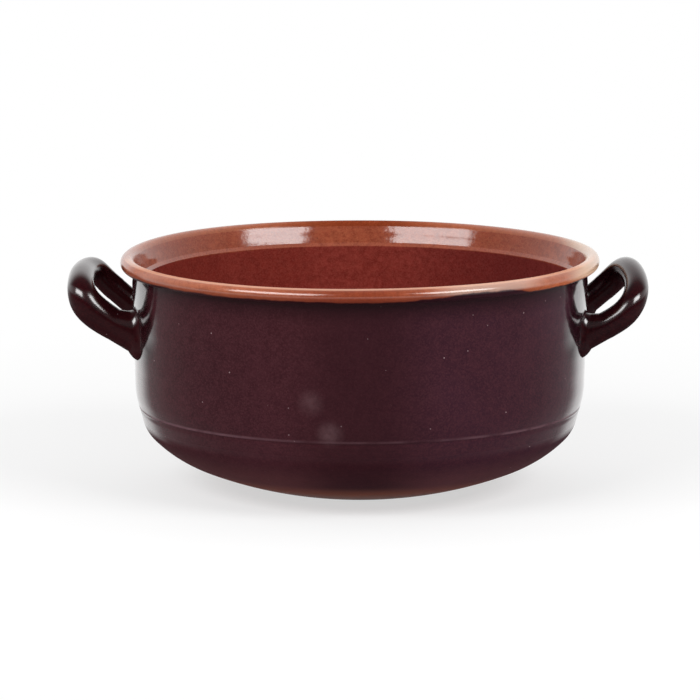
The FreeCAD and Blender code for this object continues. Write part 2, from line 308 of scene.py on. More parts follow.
# %% [markdown]
# ## The handles
#
# Each handle is a coil rolled by hand. Its lower end is pressed on the wall nearer the
# viewer, it swings out and up in a loop, and its other end is pressed on further back and
# a little higher. The coil's middle line is a smooth spline, and its thickness changes
# along the way, as rolled clay does.

# %% A smooth line through the coil
def spline(points, steps):
    """Points on the smooth cubic curve that a few control points pull into shape."""
    control = [Vector(p) for p in points]
    control = [control[0] * 2 - control[1]] + control + [control[-1] * 2 - control[-2]]
    curve = []
    for a, b, c, d in zip(control, control[1:], control[2:], control[3:]):
        for i in range(steps):
            t = i / steps
            near = (1 - t) ** 3
            far = t**3
            early = 3 * t**3 - 6 * t**2 + 4
            late = -3 * t**3 + 3 * t**2 + 3 * t + 1
            curve.append((a * near + b * early + c * late + d * far) / 6)
    last = control[-3] + control[-2] * 4 + control[-1]
    return curve + [last / 6]


def smooth_values(pairs, share):
    """A value that changes smoothly between (share of the way, value) pairs."""
    for (s0, v0), (s1, v1) in zip(pairs, pairs[1:]):
        if share <= s1:
            return v0 + (v1 - v0) * smooth((share - s0) / (s1 - s0))
    return pairs[-1][1]


print("half of the way from 8 to 7 mm:", smooth_values([(0.0, 8.0), (1.0, 7.0)], 0.5))

# %% [markdown]
# The ends of a coil have to land exactly on the wall. Its radius is known at every height, so
# the landing point of each line is found by halving the way again and again.

# %% Where a line of the coil meets the wall
LONGEST_WAY = 60.0
HALVINGS = 40


def wall_radius(up):
    """The outside radius of the wall at a height, in millimetres."""
    share = (up - SKIRT_TOP[1]) / (NECK[1] - SKIRT_TOP[1])
    return SKIRT_TOP[0] + (NECK[0] - SKIRT_TOP[0]) * share


def outside_wall(point):
    """How far a point stands off the wall, in millimetres."""
    return math.hypot(point.x, point.y) - wall_radius(point.z)


def meet_wall(start, direction):
    """The point where a line from outside runs into the wall, by halving."""
    near, far = 0.0, LONGEST_WAY
    for _ in range(HALVINGS):
        middle = (near + far) / 2
        if outside_wall(start + direction * middle) > 0:
            near = middle
        else:
            far = middle
    return start + direction * near


def sunk(point, depth):
    """The point moved straight in until it lies this deep in the wall."""
    share = (wall_radius(point.z) - depth) / math.hypot(point.x, point.y)
    return Vector((point.x * share, point.y * share, point.z))


print("the wall's radius 95 mm up:", round(wall_radius(95.0), 2))

# %% [markdown]
# Where the coil meets the wall, the potter smears its clay outward with a thumb. Every line
# along the coil is bent there in a smooth curve from the coil onto the wall, and how far it
# spreads depends on the side. The viewer's end is drawn out downward into a broad blunt foot,
# which takes a longer bend rather than a wider spread. The last ring is sunk a little into
# the wall, so no gap shows.

# %% How far the clay is smeared
FRONT_SPREAD = 3.2
FRONT_LESS_BELOW = 1.0
FRONT_MORE_ABOVE = 1.8
BACK_SPREAD = 5.0
BACK_MORE_BELOW = 3.5
BEND_STEPS = 14
BEND_PER_REACH = 1.1
LONGER_BEND = 3.5
FOOT_STANDS_OFF = 3.6
FOOT_SHARE = 0.75
COIL_PULL = 0.62
WALL_PULL = 0.60
SUNK = 0.25
BURIED = 1.4


def front_smear(outward):
    """The viewer's end of a handle: a thumb stroke, a little wider above than below."""
    down = max(0.0, -outward.z)
    return FRONT_SPREAD - FRONT_LESS_BELOW * down**2 + FRONT_MORE_ABOVE * max(0.0, outward.z)


def back_smear(outward):
    """The far end: pressed on more evenly."""
    return BACK_SPREAD + BACK_MORE_BELOW * max(0.0, -outward.z) ** 2


def bent(start, first_pull, last_pull, finish):
    """Points along a smooth curve that leaves and arrives in the direction of its pulls."""
    shares = [s / BEND_STEPS for s in range(BEND_STEPS + 1)]
    return [
        start * (1 - t) ** 3
        + first_pull * (3 * t * (1 - t) ** 2)
        + last_pull * (3 * t * t * (1 - t))
        + finish * t**3
        for t in shares
    ]


print("smeared below and above:", [front_smear(Vector((0, 0, z))) for z in (-1, 1)])

# %% Press the ends of a coil on
STRAIGHT_STEPS = 5
COIL_SIDES = 56
COIL_TURNS = [2 * math.pi * j / COIL_SIDES for j in range(COIL_SIDES)]


def root_lines(frame_point, radius, towards, widen, spread):
    """For each side of the coil, the curve that carries it from the coil onto the wall.

    Widen lifts the top by a share of the radius, and spread says how far the clay is drawn.
    """
    point, along, across, up = frame_point
    way = (meet_wall(point, along * towards) - point).length
    hits = []
    for turn in COIL_TURNS:
        start = point + across * (radius * math.cos(turn)) + up * (radius * math.sin(turn))
        rise = up * (radius * widen * max(0.0, math.sin(turn)))
        hits.append((start, meet_wall(start, (along * (towards * way) + rise).normalized())))
    middle = sum((hit for _, hit in hits), Vector()) / COIL_SIDES
    lines = []
    for start, hit in hits:
        round_wall = math.atan2(hit.y, hit.x)
        normal = Vector((math.cos(round_wall), math.sin(round_wall), 0))
        outward = hit - middle
        outward = (outward - normal * outward.dot(normal)).normalized()
        down = max(0.0, -outward.z)
        reach = spread(outward)
        foot = hit + outward * reach
        sink = sunk(foot, SUNK)
        bend = reach * BEND_PER_REACH + LONGER_BEND * down
        leave = start.lerp(hit, max(0.0, 1 - bend / max((hit - start).length, 0.01)))
        corner = hit.lerp(foot + normal * FOOT_STANDS_OFF, FOOT_SHARE * down)
        root_line = [start.lerp(leave, s / STRAIGHT_STEPS) for s in range(STRAIGHT_STEPS)]
        pulls = leave.lerp(corner, COIL_PULL), sink.lerp(corner, WALL_PULL)
        root_line += bent(leave, *pulls, sink)
        root_line.append(sunk(sink + outward, BURIED))
        lines.append(root_line)
    return lines


print("each root is made of", COIL_SIDES, "lines")

# %% Roll and press on one handle
CLEAR_OF_WALL = 13.0
TALLER = 1.02


def coil_frames(line_points):
    """An upright frame (across, up) square to the coil at each of its points."""
    frames = []
    for i, point in enumerate(line_points):
        before = line_points[max(i - 1, 0)]
        after = line_points[min(i + 1, len(line_points) - 1)]
        along = (after - before).normalized()
        up = (Vector((0, 0, 1)) - along * along.z).normalized()
        frames.append((point, along, along.cross(up), up))
    return frames


def add_handle(side, route, thickness, front_rise):
    """Add one handle to the pot's mesh. The side is 1 for the right and -1 for the left."""
    centre_line = spline(route, 10)
    frames = coil_frames(centre_line)
    clear = [i for i, p in enumerate(centre_line) if outside_wall(p) > CLEAR_OF_WALL]
    radii = [smooth_values(thickness, i / (len(centre_line) - 1)) for i in clear]
    coil_rings = []
    for i, radius in zip(clear, radii):
        point, _, across, up = frames[i]
        wide, tall = radius, radius * TALLER
        steps = [across * (wide * math.cos(t)) + up * (tall * math.sin(t)) for t in COIL_TURNS]
        coil_rings.append([point + step for step in steps])
    front = root_lines(frames[clear[0]], radii[0], -1, front_rise, front_smear)
    far = root_lines(frames[clear[-1]], radii[-1], 1, 0.0, back_smear)
    front_rings = list(zip(*front))[:0:-1]
    far_rings = list(zip(*far))[1:]
    mirrored = Vector((side, 1, 1))
    made = []
    for ring in front_rings + coil_rings + far_rings:
        made.append([pot_mesh.verts.new(p * mirrored * MM) for p in ring])
    for low, high in zip(made, made[1:]):
        for j in range(COIL_SIDES):
            k = (j + 1) % COIL_SIDES
            corners = [low[j], high[j], high[k], low[k]]
            skin(corners if side > 0 else corners[::-1], COIL)
    return len(made)


print("a coil is rolled where it is", CLEAR_OF_WALL, "mm clear of the wall")

# %% [markdown]
# The two coils are alike but not the same, as two made by hand are. Their bends were fitted
# to the outlines in the photograph: the left one rises sooner and is thicker in front.

# %% Roll the coils
ARM_DEPTH = 25.0
ARM_FROM_AXIS = (102.0, 116.0, 130.0)
FRONT_SLOPE = 0.58


def coil_route(front_height, bends, back_height, back_slope):
    """Control points of a coil's middle line, in millimetres, for a handle on the right.

    Both arms run straight out of the wall, in front of and behind the pot's middle.
    Each bend is (distance from the axis, depth, height).
    """
    wall = ARM_FROM_AXIS[-1]
    front = [(x, -ARM_DEPTH, front_height + FRONT_SLOPE * (x - wall)) for x in ARM_FROM_AXIS]
    far = [(x, ARM_DEPTH, back_height + back_slope * (x - wall)) for x in ARM_FROM_AXIS[::-1]]
    return front + bends + far


right_bends = [
    (142.9, -25.0, 98.2),
    (154.0, -25.0, 104.2),
    (160.7, -24.0, 113.9),
    (162.4, -10.0, 121.2),
    (158.9, 10.0, 126.6),
    (154.6, 24.0, 123.6),
    (145.4, 25.0, 112.7),
]
left_bends = [
    (146.7, -25.0, 100.6),
    (159.1, -25.0, 109.7),
    (162.5, -24.0, 118.9),
    (162.9, -10.0, 123.2),
    (162.2, 10.0, 124.7),
    (156.4, 24.0, 125.7),
    (150.1, 25.0, 116.3),
]
right_route = coil_route(90.4, right_bends, 102.5, 0.77)
left_route = coil_route(91.5, left_bends, 100.5, 0.79)
places = (0.0, 0.12, 0.3, 0.5, 0.7, 0.88, 1.0)
right_thickness = list(zip(places, (8.3, 8.3, 7.8, 7.0, 7.6, 7.3, 7.3)))
left_thickness = list(zip(places, (8.3, 8.3, 9.4, 7.7, 6.8, 7.8, 7.8)))
right_rings = add_handle(1, right_route, right_thickness, 1.05)
left_rings = add_handle(-1, left_route, left_thickness, 0.80)
print("rings of the right and left coil:", right_rings, left_rings)

# %% [markdown]
# Bowl and coils fire into one piece of pottery, so they are one object here too, with the
# coils' ends buried in the wall.

# %% One object for the one fired piece
bmesh.ops.recalc_face_normals(pot_mesh, faces=pot_mesh.faces)
mesh_data = bpy.data.meshes.new("glazed_pot")
pot_mesh.to_mesh(mesh_data)
pot_mesh.free()
pot = bpy.data.objects.new("glazed_pot", mesh_data)
bpy.context.scene.collection.objects.link(pot)
print("triangles:", sum(len(p.vertices) - 2 for p in mesh_data.polygons))

# %% [markdown]
# ## Shared effects
#
# Fired glaze is never one flat colour. Three effects appear on every surface of this pot,
# so each is a node group that is built once: soft clouds of colour, fine grains of the
# clay, and the slight ripple of the glaze surface.

# %% Helpers for nodes
def wire(tree, source, target):
    """Connect two sockets."""
    tree.links.new(source, target)


def feed(tree, value, socket):
    """Give a socket a plain value, or connect another socket to it."""
    if isinstance(value, (int, float, tuple)):
        socket.default_value = value
    else:
        wire(tree, value, socket)


def set_values(node, values):
    """Give several of a node's sockets their plain values."""
    for label, value in values.items():
        node.inputs[label].default_value = value


def calculated(tree, operation, first, second=None):
    """A calculation on sockets or plain numbers. Returns its output."""
    node = tree.nodes.new("ShaderNodeMath")
    node.operation = operation
    feed(tree, first, node.inputs[0])
    if second is not None:
        feed(tree, second, node.inputs[1])
    return node.outputs[0]


def times(tree, first, *others):
    """The product of two or more sockets or numbers. Returns its output."""
    for other in others:
        first = calculated(tree, "MULTIPLY", first, other)
    return first


def plus(tree, first, second):
    """The sum of two sockets or numbers. Returns its output."""
    return calculated(tree, "ADD", first, second)


def larger(tree, first, second):
    """The larger of two values. Returns its output."""
    return calculated(tree, "MAXIMUM", first, second)


def mixed(tree, factor, first, second, blend="MIX"):
    """Mix two colours, each a socket or four numbers. Returns the mixed colour."""
    node = tree.nodes.new("ShaderNodeMix")
    node.data_type = "RGBA"
    node.blend_type = blend
    for index, value in ((0, factor), (6, first), (7, second)):
        feed(tree, value, node.inputs[index])
    return node.outputs[2]


def noise(tree, vector, scale, detail=3.0, roughness=0.55):
    """A noise texture's value at a scale per metre."""
    node = tree.nodes.new("ShaderNodeTexNoise")
    set_values(node, {"Scale": scale, "Detail": detail, "Roughness": roughness})
    wire(tree, vector, node.inputs["Vector"])
    return node.outputs["Fac"]


def faded(tree, value, none_at, full_at):
    """A smooth step: 0 on one side of none_at, 1 on the other side of full_at."""
    node = tree.nodes.new("ShaderNodeMapRange")
    node.interpolation_type = "SMOOTHSTEP"
    set_values(node, {"From Min": none_at, "From Max": full_at})
    wire(tree, value, node.inputs["Value"])
    return node.outputs["Result"]


def band(tree, value, starts, full, still_full, ends):
    """A mask that fades in from starts to full, and out again from still_full to ends."""
    return times(tree, faded(tree, value, starts, full), faded(tree, value, ends, still_full))


def apart(tree, vector):
    """The X, Y and Z of a vector, as three sockets."""
    node = tree.nodes.new("ShaderNodeSeparateXYZ")
    wire(tree, vector, node.inputs[0])
    return node.outputs


def new_group(name, inputs, outputs):
    """A shader node group with these sockets. Returns it with its two end nodes."""
    group = bpy.data.node_groups.new(name, "ShaderNodeTree")
    for label, kind, default in inputs:
        socket = group.interface.new_socket(label, in_out="INPUT", socket_type=kind)
        if default is not None:
            socket.default_value = default
    for label in outputs:
        group.interface.new_socket(label, in_out="OUTPUT", socket_type="NodeSocketFloat")
    start = group.nodes.new("NodeGroupInput")
    end = group.nodes.new("NodeGroupOutput")
    return group, start.outputs, end.inputs


print("node groups so far:", len(bpy.data.node_groups))

# %% [markdown]
# Glaze flows and thickens in soft patches. Two layers of noise, one broad and one fine, give
# them without any repeat.

# %% Clouds
clouds, given, result = new_group(
    "glaze_clouds",
    [("Vector", "NodeSocketVector", None), ("Scale", "NodeSocketFloat", 12.0)],
    ["Broad", "Fine"],
)
scaled = clouds.nodes.new("ShaderNodeVectorMath")
scaled.operation = "SCALE"
wire(clouds, given["Vector"], scaled.inputs[0])
wire(clouds, given["Scale"], scaled.inputs["Scale"])
broad = noise(clouds, scaled.outputs[0], 1.0, 2.0)
fine = noise(clouds, scaled.outputs[0], 14.0, 4.0, 0.65)
wire(clouds, faded(clouds, broad, 0.35, 0.65), result["Broad"])
wire(clouds, faded(clouds, fine, 0.33, 0.67), result["Fine"])
print(clouds.name, "has", len(clouds.nodes), "nodes")

# %% [markdown]
# Sand in the clay shows through the glaze as grains, and burst bubbles leave pinholes. Small
# cells with random tints are the grains, and a tiny disc in some of the wider cells is a
# pinhole.

# %% Grains of clay and pinholes
PINHOLE_SPACING = 0.11
PINHOLE_SIZE = 0.060
PINHOLE_SHARE = 0.35

grains, given, result = new_group(
    "clay_grains",
    [("Vector", "NodeSocketVector", None), ("Size", "NodeSocketFloat", 0.0005)],
    ["Grain", "Speck"],
)


def scattered(density):
    """Cells at a density per metre. Returns the distances to their middles and their colours."""
    cells = grains.nodes.new("ShaderNodeTexVoronoi")
    wire(grains, given["Vector"], cells.inputs["Vector"])
    wire(grains, density, cells.inputs["Scale"])
    tint = grains.nodes.new("ShaderNodeSeparateColor")
    wire(grains, cells.outputs["Color"], tint.inputs[0])
    return cells.outputs["Distance"], tint.outputs


density = calculated(grains, "DIVIDE", 1.0, given["Size"])
wire(grains, scattered(density)[1][0], result["Grain"])
distance, tint = scattered(times(grains, density, PINHOLE_SPACING))
near_middle = calculated(grains, "LESS_THAN", distance, times(grains, tint[1], PINHOLE_SIZE))
chosen = calculated(grains, "GREATER_THAN", tint[0], PINHOLE_SHARE)
wire(grains, times(grains, near_middle, chosen), result["Speck"])
print(grains.name, "has", len(grains.nodes), "nodes")

# %% [markdown]
# The surface is never quite flat. It has a fine orange peel, a slow swell, and rings where the
# fingers passed on the wheel. The rings are noise that is stretched round the pot, and each
# glaze says how much of them it shows.

# %% Ripple of the surface
ORANGE_PEEL = 260.0
SWELL = 45.0
WHEEL_RINGS = 220.0
STRETCHED_ROUND = 0.06

ripple, given, result = new_group(
    "glaze_ripple",
    [("Vector", "NodeSocketVector", None), ("Rings", "NodeSocketFloat", 0.3)],
    ["Height"],
)
peel = noise(ripple, given["Vector"], ORANGE_PEEL, 2.0)
swell = noise(ripple, given["Vector"], SWELL, 1.0)
spot = apart(ripple, given["Vector"])
flat = ripple.nodes.new("ShaderNodeCombineXYZ")
wire(ripple, spot["Z"], flat.inputs["Z"])
wire(ripple, times(ripple, spot["X"], STRETCHED_ROUND), flat.inputs["X"])
wire(ripple, times(ripple, spot["Y"], STRETCHED_ROUND), flat.inputs["Y"])
wheel = noise(ripple, flat.outputs[0], WHEEL_RINGS, 2.0)
height = plus(ripple, times(ripple, peel, 0.35), swell)
height = plus(ripple, height, times(ripple, wheel, given["Rings"]))
wire(ripple, height, result["Height"])
print("node groups:", [g.name for g in bpy.data.node_groups])

# %% [markdown]
# ## The glazes
#
# Outside, an iron and manganese glaze fires almost black with a purple to olive cast, and
# red-brown where it runs thin. Inside, a clear honey glaze shows the orange-red clay. Every
# finish starts from the same shader and differs in its colours, its gloss and its ripple.

# %% Helpers for the glazes
def linear(red, green, blue):
    """A colour written in screen values from 0 to 255, in linear light."""
    values = [v / 255 for v in (red, green, blue)]
    values = [v / 12.92 if v <= 0.04045 else ((v + 0.055) / 1.055) ** 2.4 for v in values]
    return (*values, 1.0)


def start_material(name):
    """A material with its shader and the object's own coordinates."""
    material = bpy.data.materials.new(name)
    material.use_nodes = True
    tree = material.node_tree
    tree.nodes.clear()
    shader = tree.nodes.new("ShaderNodeBsdfPrincipled")
    output = tree.nodes.new("ShaderNodeOutputMaterial")
    wire(tree, shader.outputs[0], output.inputs[0])
    place = tree.nodes.new("ShaderNodeTexCoord").outputs["Object"]
    return material, tree, shader, place


def use_group(tree, group, place, **values):
    """Place a shared effect in a material with its own values. Returns its outputs."""
    node = tree.nodes.new("ShaderNodeGroup")
    node.node_tree = group
    wire(tree, place, node.inputs["Vector"])
    set_values(node, values)
    return node.outputs


def painted(tree, colour, mask, share, paint):
    """Lay a paint over a colour where a mask says, at part of the mask's strength."""
    return mixed(tree, times(tree, mask, share), colour, paint)


def rippled(tree, shader, place, rings, strength, depth):
    """Let the glaze's surface ripple a little, through one bump node."""
    bump = tree.nodes.new("ShaderNodeBump")
    set_values(bump, {"Strength": strength, "Distance": depth})
    surface = use_group(tree, ripple, place, Rings=rings)
    wire(tree, surface["Height"], bump.inputs["Height"])
    wire(tree, bump.outputs["Normal"], shader.inputs["Normal"])


def turned_and_up(tree):
    """How far the surface is turned from the eye, and how far it faces up, as sockets."""
    facing = tree.nodes.new("ShaderNodeLayerWeight")
    set_values(facing, {"Blend": 0.5})
    normal = tree.nodes.new("ShaderNodeNewGeometry").outputs["Normal"]
    return facing.outputs["Facing"], apart(tree, normal)["Z"]


print("middle grey in linear light:", round(linear(128, 128, 128)[0], 3))

# %% [markdown]
# The inside is brushed or poured with a clear glaze that lets the red clay show through. The
# band above the ledge gets the most light and looks orange. Below it the bowl throws its own
# red light on itself and falls into shade towards the right, so the clay is tinted there
# instead of relying on bounced light alone.

# %% Clear glaze over red clay
ABOVE_LEDGE = (0.1218, 0.1230)
TO_THE_RIGHT = (0.00, 0.11)
REFLECTED_RED = (0.72, 0.50, 0.80, 1.0)
SHADED_RED = (0.50, 0.36, 0.72, 1.0)


def red_clay(tree, place):
    """The colour of the clay as the clear glaze shows it, as a socket."""
    cloud = use_group(tree, clouds, place, Scale=16.0)
    grain = use_group(tree, grains, place, Size=0.0007)
    colour = mixed(tree, cloud["Broad"], linear(138, 58, 38), linear(156, 76, 52))
    colour = mixed(tree, cloud["Fine"], colour, linear(126, 52, 34))
    colour = painted(tree, colour, grain["Grain"], 0.30, linear(186, 110, 74))
    return mixed(tree, grain["Speck"], colour, linear(96, 40, 30))


inside_glaze, tree, shader, place = start_material("clear_glaze_on_red_clay")
spot = apart(tree, place)
clay = red_clay(tree, place)
shade = mixed(tree, faded(tree, spot["X"], *TO_THE_RIGHT), REFLECTED_RED, SHADED_RED)
deep = mixed(tree, 1.0, clay, shade, blend="MULTIPLY")
colour = mixed(tree, faded(tree, spot["Z"], *ABOVE_LEDGE), deep, clay)
wire(tree, colour, shader.inputs["Base Color"])
set_values(shader, {"Roughness": 0.10, "IOR": 1.55})
rippled(tree, shader, place, 0.12, 0.25, 0.0006)
print(inside_glaze.name, "has", len(tree.nodes), "nodes")

# %% [markdown]
# The dark glaze is a slip of iron and manganese that the pot is dipped in. It is warmer on
# the left and cooler on the right, cloudy where it lay thicker, and grainy where the clay
# shows. One function mixes it, because the wall and the coils wear the same glaze in
# different thickness.

# %% Dark glaze
WARM_TO_COOL = (-0.03, 0.06)


def dark_glaze(tree, place, dark, warm, cool, thin):
    """The dark glaze's colour: warm on the left, cool on the right, thin in spots."""
    cloud = use_group(tree, clouds, place, Scale=9.0)
    drift = use_group(tree, clouds, place, Scale=4.0)
    grain = use_group(tree, grains, place, Size=0.0008)
    side = times(tree, faded(tree, apart(tree, place)["X"], *WARM_TO_COOL), 0.75)
    side = plus(tree, side, times(tree, drift["Broad"], 0.25))
    colour = mixed(tree, side, warm, cool)
    colour = painted(tree, colour, cloud["Broad"], 0.45, dark)
    colour = painted(tree, colour, cloud["Fine"], 0.16, thin)
    colour = painted(tree, colour, calculated(tree, "POWER", grain["Grain"], 1.5), 0.40, thin)
    return mixed(tree, grain["Speck"], colour, linear(136, 112, 116))


def soft_spot(tree, place, centre, reach):
    """A mask that is 1 at a point and fades out at this distance from it."""
    gap = tree.nodes.new("ShaderNodeVectorMath")
    gap.operation = "DISTANCE"
    gap.inputs[1].default_value = centre
    wire(tree, place, gap.inputs[0])
    return faded(tree, gap.outputs["Value"], reach, 0.0)


print("dark glaze, from", [round(v, 3) for v in linear(36, 9, 14)[:3]])

# %% [markdown]
# On the wall the same glaze has a history, and painted shade and light are laid over it.
# Painted shade darkens the middle of the front, the wall under the lip and the wall beside
# the handles. The glaze broke thin over the turned line, and towards the sides a painted
# highlight lightens that line further. The wall turns lighter and redder towards the foot,
# and a little lighter low on the haunch away from the middle. Two faint scuffs sit low on
# the front. Each mark is a mask made from its place on the pot, so it belongs to the pot
# and not to one view of it.

# %% Marks on the wall's glaze
FRONT = (0.0, -0.10)
SHADED_MIDDLE = (0.050, 0.008)
UNDER_LIP = (0.114, 0.127)
ROOT_FROM_AXIS = 0.125
ROOTS = ((-0.036, 0.100), (0.030, 0.104))
ROOT_REACH = 0.036
SCUFFS = (((-0.017, -0.130, 0.053), 0.44), ((-0.028, -0.129, 0.071), 0.26))
SCUFF_REACH = 0.010
SCUFF_GRAIN = 200.0
TURNED_LINE = (0.0470, 0.0476, 0.0482, 0.0492)
LINE_LIGHTER_FROM = (0.03, 0.10)
LINE_WEAR = 60.0
FOOT = (0.018, 0.003)
HAUNCH = (0.034, 0.016)
HAUNCH_SIDES = (0.005, 0.055)


def glaze_on_wall(tree, place):
    """The dark glaze with the marks of its making, painted shade and a painted highlight, as a
    colour socket.
    """
    colour = dark_glaze(
        tree, place, linear(36, 9, 14), linear(50, 18, 23), linear(53, 26, 40), linear(78, 40, 46)
    )
    spot = apart(tree, place)
    sideways = calculated(tree, "ABSOLUTE", spot["X"])
    front = faded(tree, spot["Y"], *FRONT)
    # Painted shade: the middle of the front is darkened where the wall faces the eye.
    painted_shade_middle = times(tree, faded(tree, sideways, *SHADED_MIDDLE), front)
    colour = painted(tree, colour, painted_shade_middle, 0.60, linear(38, 10, 15))
    # Painted shade under the lip, where its roll overhangs the wall.
    colour = painted(tree, colour, faded(tree, spot["Z"], *UNDER_LIP), 0.60, linear(26, 5, 10))
    # Painted shade beside the coils' roots, where the coils shade the wall.
    for side in (-ROOT_FROM_AXIS, ROOT_FROM_AXIS):
        for depth, up in ROOTS:
            root_shade = soft_spot(tree, place, (side, depth, up), ROOT_REACH)
            root_shade = faded(tree, root_shade, 0.0, 0.55)
            colour = painted(tree, colour, root_shade, 0.75, linear(16, 3, 6))
    for centre, share in SCUFFS:
        scuff = soft_spot(tree, place, centre, SCUFF_REACH)
        scuff = times(tree, scuff, noise(tree, place, SCUFF_GRAIN))
        colour = painted(tree, colour, scuff, share, linear(128, 100, 104))
    # The turned line: lighter where the glaze broke thin over its edge, and towards the sides a
    # painted highlight lightens it further.
    worn = faded(tree, noise(tree, place, LINE_WEAR), 0.25, 0.60)
    lighter = plus(tree, times(tree, faded(tree, sideways, *LINE_LIGHTER_FROM), 0.26), 0.20)
    line_edge = times(tree, band(tree, spot["Z"], *TURNED_LINE), worn)
    colour = painted(tree, colour, line_edge, lighter, linear(124, 92, 100))
    # Lighter and redder towards the foot, and a little lighter low on the haunch away from the
    # middle.
    colour = painted(tree, colour, faded(tree, spot["Z"], *FOOT), 0.80, linear(170, 104, 84))
    haunch = faded(tree, spot["Z"], *HAUNCH)
    haunch = times(tree, haunch, faded(tree, sideways, *HAUNCH_SIDES))
    return painted(tree, colour, haunch, 0.35, linear(104, 60, 60))


print("marks:", len(SCUFFS), "scuffs and", 2 * len(ROOTS), "patches of painted shade beside the roots")

# %% [markdown]
# The dark glaze stops in a wandering line on the roll of the lip, where the pot was held when
# it was dipped. To the right of the middle it climbs higher. Above the line the clay is bare
# but for a thin sponged glaze, stained brown near the line. Painted shade darkens the lip's
# middle to a deeper orange, a painted highlight pales a streak right of the middle, and a
# painted reflection pales the right end.

# %% The glaze's edge and the lip's clay
GLAZE_STOPS = (0.1294, 0.1306)
WANDER_SCALE = 46.0
WANDERS_BY = 0.0038
CLIMBS_BY = 0.0032
CLIMBS_ALONG = (0.020, 0.070, 0.084, 0.100)
STAINED = (0.1345, 0.1306)
STAINED_UP_TO = (0.115, 0.085)
LIP_MIDDLE_SHADE = (0.060, 0.010)
STREAK_ALONG = (0.035, 0.060, 0.090, 0.110)
STREAK_ABOVE = (0.1318, 0.1340)
STREAK_IN_FRONT = (0.0, -0.03)
RIGHT_END = (0.116, 0.132)
RIGHT_END_ABOVE = (0.1300, 0.1320)


def height_over_edge(tree, place):
    """The height on the pot as seen from the wandering edge of the glaze, as a socket."""
    spot = apart(tree, place)
    wander = noise(tree, place, WANDER_SCALE, 4.0, 0.62)
    wander = calculated(tree, "SUBTRACT", wander, 0.5)
    climb = times(tree, band(tree, spot["X"], *CLIMBS_ALONG), faded(tree, spot["Y"], *FRONT))
    shift = plus(tree, times(tree, wander, WANDERS_BY), times(tree, climb, -CLIMBS_BY))
    return plus(tree, spot["Z"], shift)


def outside_colours(tree, place):
    """The colour of the whole outside, glaze below and clay on the lip, as a socket."""
    spot = apart(tree, place)
    height = height_over_edge(tree, place)
    clay = mixed(tree, 0.20, red_clay(tree, place), linear(200, 118, 66))
    # Painted shade: the lip is darkened towards its middle, between the lamps' streaks.
    middle = faded(tree, calculated(tree, "ABSOLUTE", spot["X"]), *LIP_MIDDLE_SHADE)
    clay = mixed(tree, times(tree, middle, 0.70), clay, linear(184, 126, 96), "MULTIPLY")
    stain = times(
        tree, faded(tree, height, *STAINED), faded(tree, spot["X"], *STAINED_UP_TO)
    )
    clay = painted(tree, clay, stain, 0.66, linear(96, 42, 34))
    # Painted highlight: a pale streak right of the middle, the right lamp's reflection on the
    # upper lip.
    lamp_streak = times(
        tree,
        band(tree, spot["X"], *STREAK_ALONG),
        faded(tree, spot["Z"], *STREAK_ABOVE),
        faded(tree, spot["Y"], *STREAK_IN_FRONT),
    )
    clay = painted(tree, clay, lamp_streak, 0.50, linear(202, 174, 158))
    # Painted reflection of the pale air: the right end of the lip turns cream.
    end = times(
        tree, faded(tree, spot["X"], *RIGHT_END), faded(tree, spot["Z"], *RIGHT_END_ABOVE)
    )
    clay = painted(tree, clay, end, 0.60, linear(226, 200, 172))
    return mixed(tree, faded(tree, height, *GLAZE_STOPS), glaze_on_wall(tree, place), clay)


print("the glaze stops", round(GLAZE_STOPS[0] * 1000, 1), "mm up")

# %% [markdown]
# The wall's gloss is a coat over a soft ground. A fired glaze mirrors strongly only where it
# is seen at a glancing angle, which draws the pale strips beside the handles, so the coat is
# laid on there. It reaches further round high on the wall, where the glaze is thick, and it
# is left off where the surface looks down, because the glaze came out dry there.

# %% The wall
GLANCING = (0.64, 0.79)
GLANCING_WHERE_THICK = (0.54, 0.68)
THICK_ABOVE = (0.085, 0.100)
LOOKS_DOWN = (-0.20, -0.55)
LOWEST = (0.012, 0.003)

outside_glaze, tree, shader, place = start_material("dark_brown_glaze")
wire(tree, outside_colours(tree, place), shader.inputs["Base Color"])
up = apart(tree, place)["Z"]
turned, upward = turned_and_up(tree)
thick = times(
    tree, faded(tree, up, *THICK_ABOVE), faded(tree, turned, *GLANCING_WHERE_THICK)
)
dry = faded(tree, upward, *LOOKS_DOWN)
gloss = larger(tree, faded(tree, turned, *GLANCING), thick)
gloss = times(tree, gloss, calculated(tree, "SUBTRACT", 1.0, dry))
gloss = larger(tree, gloss, times(tree, faded(tree, up, *LOWEST), 0.12))
wire(tree, gloss, shader.inputs["Coat Weight"])
wire(tree, plus(tree, times(tree, dry, 0.76), 0.14), shader.inputs["Roughness"])
set_values(shader, {"IOR": 1.15, "Coat Roughness": 0.08, "Coat IOR": 1.9})
rippled(tree, shader, place, 0.7, 0.30, 0.0008)
print(outside_glaze.name, "has", len(tree.nodes), "nodes")

# %% [markdown]
# The lip has the same colours, but it was sponged before the firing. Its glaze is thinner and
# its gloss softer, so the lamps draw broad streaks along it. A painted highlight pales its
# crest, a thin light line along the front.

# %% The lip
FACES_THE_EYE = (0.75, 0.50)
FRONT_HALF = (0.06, 0.0)
POLISHED_SIDES = (0.02, 0.09)
POLISHED_BEHIND = (-0.07, -0.03)
NOT_UNDERNEATH = (-0.30, 0.0)
CREST = (0.78, 0.92)
CREST_IN_FRONT = (0.0, -0.03)

lip_glaze, tree, shader, place = start_material("wiped_glaze_on_lip")
spot = apart(tree, place)
turned, upward = turned_and_up(tree)
